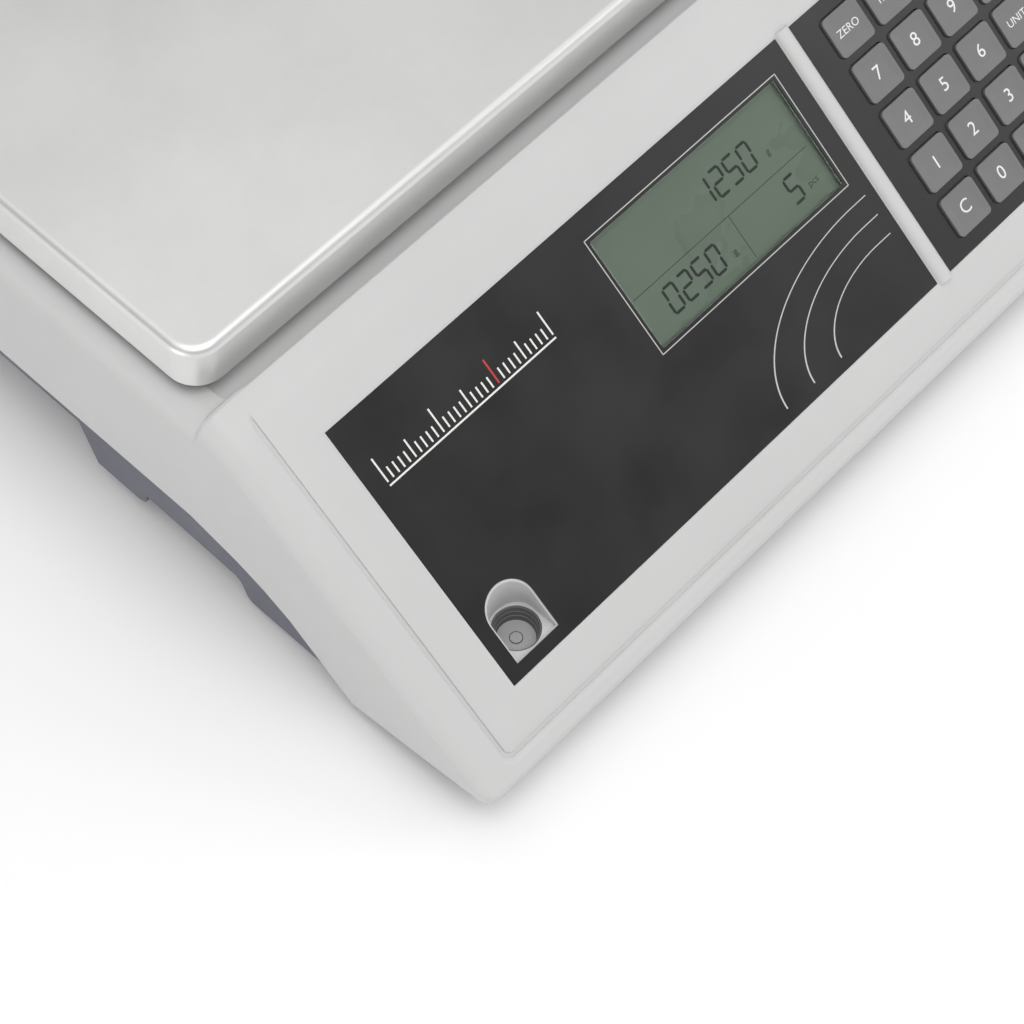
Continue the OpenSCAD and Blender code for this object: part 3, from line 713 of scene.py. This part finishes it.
def make_casing():
    """The one-piece upper moulding: a shell with its frame, seats, rib, pocket and openings."""
    shell = casing_block()
    combine(shell, casing_hollow(), "DIFFERENCE")
    combine(shell, frame_cutter(), "DIFFERENCE")
    combine(shell, seat_cutter("display_seat", 0, DISPLAY_W), "DIFFERENCE")
    combine(shell, seat_cutter("keypad_seat", KEYPAD_U, PANELS_W), "DIFFERENCE")
    combine(shell, rib_bar(), "UNION")
    combine(shell, deck_well(), "DIFFERENCE")
    combine(shell, pocket_block("pocket", POCKET_Z, ABOVE), "DIFFERENCE")
    combine(shell, rod("vial_seat", (VIAL_X, VIAL_Y, 10), VIAL_R + 0.15, 50), "DIFFERENCE")
    window = slope_hole("window_hole", (WINDOW_U, WINDOW_S),
                        (WINDOW_U + 2 * WINDOW_HALF_W, WINDOW_S + 2 * WINDOW_HALF_H))
    combine(shell, window, "DIFFERENCE")
    keypad_u = KEYPAD_U + KEYPAD_W / 2
    keys = slope_hole("keypad_hole", (keypad_u - KEYPAD_HALF_W, PANEL_H / 2 - KEYPAD_HALF_H),
                      (keypad_u + KEYPAD_HALF_W, PANEL_H / 2 + KEYPAD_HALF_H))
    combine(shell, keys, "DIFFERENCE")
    combine(shell, post_hole(), "DIFFERENCE")
    combine(shell, connector_bay(), "DIFFERENCE")
    clean(shell)
    soften(shell, 0.35, 2, 38)
    return hand_over(shell, "top_casing")


# ---- Parts that keep their CAD outline, with rounded edges ----


def softened(node, width=0.4, segments=2, angle=35):
    """A rounded-off copy of a CAD part, which takes its place."""
    source = frame["nodes"][node]
    copy = source.copy()
    copy.data = source.data.copy()
    copy.parent = None
    copy.matrix_world = source.matrix_world.copy()
    bpy.context.scene.collection.objects.link(copy)
    named(copy, node + "_finished")
    clean(copy, 0.002)
    use(copy, "DECIMATE", decimate_type="DISSOLVE", angle_limit=math.radians(0.4))
    soften(copy, width, segments, angle)
    return hand_over(copy, node)


# ---- Pan ----


def make_pan():
    """A pressed sheet: leaning sides turned down all round, open underneath."""
    w, d = (pan_high.x - pan_low.x) / MM, (pan_high.y - pan_low.y) / MM
    lean, corner, edge, sheet = 1.6, 10.0, 2.6, 1.0
    middle = (pan_low + pan_high) / 2
    pan = block("pan_sheet", pan_low / MM, pan_high / MM)
    begin_edit(pan, "FACE")
    pick(pan, "faces", faces_up)
    bpy.ops.transform.resize(
        value=((w - 2 * lean) / w, (d - 2 * lean) / d, 1), center_override=middle)
    end_edit()
    bevel_edges(pan, lambda e: abs(e.verts[0].co.z - e.verts[1].co.z) > 0.005, corner, 10)
    bevel_edges(pan, level_near(pan_high.z / MM), edge, 8)
    begin_edit(pan, "FACE")
    pick(pan, "faces", lambda f: f.normal.z < -0.9)
    bpy.ops.mesh.delete(type="FACE")
    end_edit()
    use(pan, "SOLIDIFY", thickness=sheet * MM, offset=-1, use_even_offset=True)
    soften(pan, 0.25, 2, 50)
    return hand_over(pan, "weighing_pan")


# ---- Places on the slope ----


def slope_place(node):
    """A CAD part's middle as (u, s, n) on the panels' face, in millimetres."""
    low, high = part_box(node)
    middle = SLOPE_FRAME.inverted() @ ((low + high) / 2)
    return middle / MM


# ---- Printing and lettering ----

INK_T = 0.03


def lettering(words, size, place, material, height=INK_T):
    """Flat raised letters centred on (u, s), standing on level n."""
    deselect()
    bpy.ops.object.text_add()
    text = bpy.context.active_object
    text.data.body = words
    text.data.size = size * MM
    text.data.align_x = "CENTER"
    text.data.align_y = "CENTER"
    text.data.extrude = height / 2 * MM
    text.data.resolution_u = 4
    bpy.ops.object.convert(target="MESH")
    letters = named(bpy.context.active_object, "lettering")
    u, s, n = place
    return paint(clean(moved(letters, (u, s, n + height / 2))), material)


def strip(low, high, material):
    """A thin printed bar on the panels' face."""
    return paint(block("strip", (*low, 0), (*high, INK_T)), material)


def printed_arc(radius, width, material):
    """A printed quarter of a circle, at its upper left: a small bar spun round the middle."""
    bar = block("printed_arc", (radius - width / 2, -0.005, 0), (radius + width / 2, 0.005, INK_T))
    quarter = math.radians(90)
    begin_edit(bar, "FACE")
    pick(bar, "faces", lambda f: f.normal.y > 0.9)
    bpy.ops.mesh.spin(steps=40, angle=-quarter, center=(0, 0, 0), axis=(0, 0, 1))
    end_edit()
    clean(bar, 0.001)
    bar.data.transform(Matrix.Rotation(quarter, 4, "Z"))
    return paint(bar, material)


# ---- Front panels ----


def graduation_marks():
    """A short ruler of printed ticks at the panel's upper left."""
    left, foot, pitch, wide = 6, 68, 2.2, 0.55
    gaps, red = 30, 20
    marks = []
    for i in range(gaps + 1):
        length = 8 if i % 10 == 0 else 6 if i % 5 == 0 else 3.6
        u = left + i * pitch
        ink = RED_INK if i == red else WHITE_INK
        marks.append(strip((u, foot), (u + wide, foot + length), ink))
    marks.append(strip((left, 66.6), (left + gaps * pitch + wide, 67.15), WHITE_INK))
    return marks


def sweeping_lines():
    """Three long thin quarter curves at the panel's lower right."""
    u, s, end_u = 176, 4, 182
    stretch, wide = 1.75, 0.3
    lines = []
    for radius in (18, 25, 32):
        curve = printed_arc(radius, wide, LINE_INK)
        curve.data.transform(Matrix.Diagonal((stretch, 1, 1, 1)))
        lines.append(moved(curve, (u, s, 0)))
        lines.append(strip((u, s + radius - wide / 2), (end_u, s + radius + wide / 2), LINE_INK))
    return lines


def make_display_panel():
    """The left film with its window, its hole over the vial's pocket and its printing."""
    film = block("display_film", (PANEL_GAP, PANEL_GAP, -FILM),
                 (DISPLAY_W - PANEL_GAP, PANEL_H - PANEL_GAP, 0))
    place = slope_place("display_window")
    hole = block("hole", (place.x - WINDOW_HALF_W, place.y - WINDOW_HALF_H, -5),
                 (place.x + WINDOW_HALF_W, place.y + WINDOW_HALF_H, 5))
    bevel_edges(hole, is_upright, 1.0, 3)
    combine(film, hole, "DIFFERENCE")
    onto_slope(film)
    combine(film, pocket_block("film_hole", 20, 80, 0.55), "DIFFERENCE")
    paint(film, FINISH["panel_film"])
    printing = graduation_marks() + sweeping_lines()
    border, line = 1.3, 0.3
    left, right = place.x - WINDOW_HALF_W - border, place.x + WINDOW_HALF_W + border
    near, far = place.y - WINDOW_HALF_H - border, place.y + WINDOW_HALF_H + border
    for low, high in (
        ((left, near), (right, near + line)),
        ((left, far - line), (right, far)),
        ((left, near), (left + line, far)),
        ((right - line, near), (right, far)),
    ):
        printing.append(strip(low, high, LINE_INK))
    for mark in printing:
        onto_slope(mark)
    soften(film, 0.06, 1, 50)
    join(film, printing)
    return hand_over(film, "display_panel")


# The bars that are dark in each figure, a to f round the outside from the top, g across
SEGMENTS = {
    "0": "abcdef", "1": "bc", "2": "abged", "3": "abgcd", "4": "fgbc", "5": "afgcd",
    "6": "afgedc", "7": "abc", "8": "abcdefg", "9": "abcdfg", " ": "",
}


def lcd_digit(character, u, s, n, tall):
    """One seven-bar digit, as thin pointed bars lying on level n."""
    half, wide, thick = tall / 2, tall * 0.5, tall * 0.11
    spots = {
        "a": (0, tall, 0), "b": (wide / 2, tall * 0.75, 90), "c": (wide / 2, tall * 0.25, 90),
        "d": (0, 0, 0), "e": (-wide / 2, tall * 0.25, 90), "f": (-wide / 2, tall * 0.75, 90),
        "g": (0, half, 0),
    }
    bars = []
    for name in SEGMENTS[character]:
        x, y, turn = spots[name]
        length = (half if turn else wide) - thick * 0.25
        bar = block("bar", (-length / 2, -thick / 2, 0), (length / 2, thick / 2, 0.04))
        bevel_edges(bar, is_upright, thick * 0.46, 1)
        bar.data.transform(
            Matrix.Translation(Vector((u + x + y * 0.09, s + y, n)) * MM)
            @ Matrix.Rotation(math.radians(turn), 4, "Z"))
        bars.append(paint(bar, DIGIT_INK))
    return bars


# Each reading: its characters, its middle across, its foot up the slope, and its unit
LCD_ROWS = (("  1250", 6.6, 0.4, "g"), (" 0250", -18, -15.5, "g"), ("   5", 20, -15.5, "pcs"))


def make_lcd():
    """The display's block with a sunk face, three readings and two dividing lines."""
    place = slope_place("lcd_module")
    half_u, half_s, half_n = 43.0, 22.0, 1.95
    sunk, line = 0.2, 0.03
    glass = block("lcd_block", (-half_u, -half_s, -half_n), (half_u, half_s, half_n))
    begin_edit(glass, "FACE")
    pick(glass, "faces", faces_up)
    bpy.ops.mesh.inset(thickness=2.2 * MM)
    extrude(-sunk)
    end_edit()
    soften(glass, 0.15, 2)
    paint(glass, FINISH["lcd_glass"])
    level = half_n - sunk
    tall = 8.2
    pitch = tall * 0.74
    extras = []
    for words, middle_u, foot_s, unit in LCD_ROWS:
        start = middle_u - len(words) * pitch / 2
        digit_s = foot_s + (2 if foot_s > 0 else 1)
        for i, character in enumerate(words):
            extras += lcd_digit(character, start + i * pitch, digit_s, level, tall)
        unit_u = start + len(words) * pitch + 1.2
        extras.append(lettering(unit, 3.2, (unit_u, foot_s + 3, level), DIGIT_INK))
    for low, high in (((-38, -3.2), (38, -3.0)), ((3, -18), (3.2, -3.2))):
        extras.append(paint(block("line", (*low, level), (*high, level + line)), DIGIT_INK))
    join(glass, extras)
    return hand_over(onto_slope(moved(glass, place)), "lcd_module")


def make_keypad_panel():
    """The right film on its backing grid, with a hole for every key."""
    film = block("keypad_film", (KEYPAD_U + PANEL_GAP, PANEL_GAP, -FILM),
                 (PANELS_W - PANEL_GAP, PANEL_H - PANEL_GAP, 0))
    middle = Vector((KEYPAD_U + KEYPAD_W / 2, PANEL_H / 2))
    half_w, half_h, key_gap = 35.8, 40.8, 0.3
    grid = block("grid", (middle.x - half_w, middle.y - half_h, -FILM - 2.2),
                 (middle.x + half_w, middle.y + half_h, -FILM + 0.1))
    combine(film, grid, "UNION")
    for row in range(1, KEY_ROWS + 1):
        for column in range(1, KEY_COLUMNS + 1):
            place = slope_place(f"key_{row}_{column}")
            half_u, half_s = KEY_W / 2 + key_gap, KEY_H / 2 + key_gap
            hole = block("hole", (place.x - half_u, place.y - half_s, -6),
                         (place.x + half_u, place.y + half_s, 6))
            bevel_edges(hole, is_upright, 1.8, 4)
            combine(film, hole, "DIFFERENCE")
    soften(film, 0.08, 1, 50)
    onto_slope(film)
    return hand_over(film, "keypad_panel")


KEY_LEGENDS = {
    5: ("ZERO", "TARE", "M+", "MC"),
    4: ("7", "8", "9", "PCS"),
    3: ("4", "5", "6", "UNIT"),
    2: ("1", "2", "3", "g/kg"),
    1: ("C", "0", ".", "OK"),
}


def key_form():
    """A key cap with a dished top, standing on its flange, centred on the origin."""
    high = KEY_TALL / 2
    low = -high
    flange = 1
    cap = block("key_form", (-KEY_W / 2 - flange, -KEY_H / 2 - flange, low),
                (KEY_W / 2 + flange, KEY_H / 2 + flange, low + flange))
    begin_edit(cap, "FACE")
    pick(cap, "faces", faces_up)
    bpy.ops.mesh.inset(thickness=flange * MM)
    extrude(high - low - flange)
    end_edit()
    bevel_edges(cap, lambda e: is_upright(e) and e.verts[0].co.length < 0.0105
                and max(v.co.z for v in e.verts) > 0.001, 1.5, 4)
    begin_edit(cap, "FACE")
    pick(cap, "faces", lambda f: faces_up(f) and f.calc_center_median().z > 0.002)
    step_up((KEY_W, KEY_H), (0, 0), ((0, 0.9), (-0.12, 0.8), (-0.1, 1.6)))
    end_edit()
    soften(cap, 0.35, 3, 40)
    return paint(cap, FINISH["key_plastic"])


def key_place(node):
    """A key's middle on the panels' face. The cap's upper front edge is its box's front."""
    low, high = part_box(node)
    u = (low.x + high.x) / 2 / MM - PANEL_LEFT
    s = (low.y / MM - PANEL_FRONT + KEY_TOP_N * SIN) / COS + KEY_H / 2
    return Vector((u, s, (KEY_TOP_N + KEY_FOOT_N) / 2))


def make_keys():
    """Twenty lettered caps, all from one form."""
    form = key_form()
    dish_floor = KEY_TALL / 2 - 0.23
    for row, legends in KEY_LEGENDS.items():
        for column, words in enumerate(legends, start=1):
            node = f"key_{row}_{column}"
            cap = form.copy()
            cap.data = form.data.copy()
            bpy.context.scene.collection.objects.link(cap)
            named(cap, node + "_cap")
            size = 6.2 if len(words) == 1 else 4.4 if len(words) < 3 else 3.6
            join(cap, [lettering(words, size, (0, 0, dish_floor), WHITE_INK, 0.05)])
            hand_over(onto_slope(moved(cap, key_place(node))), node)
    bpy.data.objects.remove(form)


# ---- Level vial ----


def inset_top(obj, steps):
    """Draws the upper face in, step by step, each with its inset and its rise."""
    begin_edit(obj, "FACE")
    pick(obj, "faces", faces_up)
    for inset, rise in steps:
        bpy.ops.mesh.inset(thickness=inset * MM, depth=rise * MM)
    end_edit()


def make_vial():
    """A stepped cup painted dark as painted shade for the shadowed pocket wall, with a ringed disc
    at its foot.
    """
    top = vial_high.z / MM
    foot = vial_low.z / MM
    cup = rod("vial_cup", (VIAL_X, VIAL_Y, foot), VIAL_R, top - foot)
    inset_top(cup, ((0.35, 0), (0.2, -1.7), (0.2, 0), (0.15, -1.8), (0.25, 0), (0.15, -2.3)))
    soften(cup, 0.2, 3, 40)
    # Painted shade: the cup is painted dark for the shadow inside the pocket.
    paint(cup, VIAL_PAINTED_SHADE)
    disc_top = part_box("vial_bubble")[0].z / MM
    disc = rod("vial_disc", (VIAL_X, VIAL_Y, disc_top - 1), 5.75, 1)
    rings = 4
    inset_top(disc, ((0.75, 0), (0.15, -0.03), (0.15, 0.03)) * rings)
    shade(disc)
    paint(disc, FINISH["vial_acrylic"])
    join(cup, [disc])
    return hand_over(cup, "level_vial")


def make_bubble():
    """A ring painted dark, painted shade for the rim where a bubble bends light away, round a pale
    middle.
    """
    low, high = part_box("vial_bubble")
    middle = (low + high) / 2 / MM
    bubble = rod("bubble_rim_painted_shade", (middle.x, middle.y, low.z / MM), 2.0, 0.3, 48)
    inset_top(bubble, ((0.22, 0), (0.05, -0.16)))
    soften(bubble, 0.05, 2, 40)
    # Painted shade: the dark ring stands in for the bubble's dark rim.
    paint(bubble, VIAL_PAINTED_SHADE)
    air = rod("bubble_air", (middle.x, middle.y, low.z / MM + 0.1), 1.73, 0.18, 48)
    soften(air, 0.06, 3, 40)
    paint(air, FINISH["vial_acrylic"])
    join(bubble, [air])
    return hand_over(bubble, "vial_bubble")


# ---- Everything, in order ----

# How far each part's edges are rounded, in millimetres
SOFT_EDGES = {
    "base_tray": 0.6, "display_window": 0.3, "display_board": 0.15, "keypad_mat": 0.3,
    "keypad_board": 0.15, "board_screws": 0.25, "pan_carrier": 0.9, "pan_buffers": 0.7,
    "load_cell": 0.4, "cell_base_spacer": 0.4, "cell_top_spacer": 0.5, "cell_bolts": 0.4,
    "cell_bracket": 0.3, "bracket_screws": 0.3, "overload_stop": 0.3, "main_board": 0.25,
    "battery": 1.0, "battery_door": 0.4, "battery_strap": 0.25, "connector_plate": 0.4,
    "dc_jack": 0.2, "switch_frame": 0.35, "switch_rocker": 0.5, "wiring_harness": 0.4,
    "casing_screws": 0.3,
}

make_casing()
make_pan()
make_display_panel()
make_lcd()
make_keypad_panel()
make_keys()
make_vial()
make_bubble()
for node, width in SOFT_EDGES.items():
    softened(node, width)
for number in range(1, 5):
    softened(f"foot_pad_{number}", 0.3)
    softened(f"foot_screw_{number}", 0.35)


# ---- Camera, light and floor ----


def look(azimuth, elevation):
    """Unit vector from the object towards a viewer."""
    a, e = math.radians(azimuth), math.radians(elevation)
    return Vector((math.sin(a) * math.cos(e), -math.cos(a) * math.cos(e), math.sin(e)))


def camera():
    """A long lens from the front left, turned a little about its own axis."""
    data = bpy.data.cameras.new("camera")
    data.lens = 103.5
    data.sensor_width = 36.0
    cam = bpy.data.objects.new("camera", data)
    bpy.context.scene.collection.objects.link(cam)
    cam.location = Vector((-406.93, -399.48, 767.02)) * MM
    right = Vector((0.68566, -0.72788, 0.00750))
    up = Vector((0.63038, 0.59891, 0.49389))
    back = right.cross(up)
    cam.rotation_mode = "QUATERNION"
    cam.rotation_quaternion = Matrix((right, up, back)).transposed().to_quaternion()
    data.clip_start, data.clip_end = 0.01, 50
    bpy.context.scene.camera = cam


def soft_light(name, azimuth, elevation, distance, size, power):
    """A large lamp that faces the object."""
    data = bpy.data.lights.new(name, "AREA")
    data.shape = "RECTANGLE"
    data.size, data.size_y = size
    data.energy = power
    lamp = bpy.data.objects.new(name, data)
    bpy.context.scene.collection.objects.link(lamp)
    away = look(azimuth, elevation)
    lamp.location = away * distance
    lamp.rotation_mode = "QUATERNION"
    lamp.rotation_quaternion = (-away).to_track_quat("-Z", "Y")


def surroundings():
    """A pale horizon and a bright ceiling with a dimmer band between, and large soft lights."""
    world = bpy.data.worlds.new("studio")
    bpy.context.scene.world = world
    world.use_nodes = True
    tree = world.node_tree
    sky = tree.nodes["Background"]
    coords = tree.nodes.new("ShaderNodeTexCoord")
    parts = tree.nodes.new("ShaderNodeSeparateXYZ")
    ramp = tree.nodes.new("ShaderNodeValToRGB")
    for height, light in ((0.22, 0.8), (0.42, 0.28), (0.66, 0.32), (0.84, 0.95)):
        ramp.color_ramp.elements.new(height).color = (light, light, light, 1)
    ramp.color_ramp.elements[0].color = (0.95, 0.95, 0.95, 1)
    tree.links.new(coords.outputs["Generated"], parts.inputs["Vector"])
    tree.links.new(parts.outputs["Z"], ramp.inputs["Fac"])
    tree.links.new(ramp.outputs["Color"], sky.inputs["Color"])
    sky.inputs["Strength"].default_value = 1.13
    soft_light("front_light", -30, 72, 2.4, (1.8, 1.4), 19)
    soft_light("side_light", -85, 12, 2.6, (1.6, 0.7), 8)
    soft_light("right_light", 52, 32, 2.4, (1.0, 1.2), 9)
    deselect()
    bpy.ops.mesh.primitive_plane_add(size=8, location=(0, 0, -0.0002))
    floor = named(bpy.context.active_object, "floor")
    floor_paint = Shader("floor_paint", (0.9, 0.9, 0.9), 0.9)
    floor_paint.vary_colour(floor_paint.noise(3, 2), 0.005)
    paint(floor, floor_paint.mat)


camera()
surroundings()
bpy.context.scene.view_settings.view_transform = "Standard"
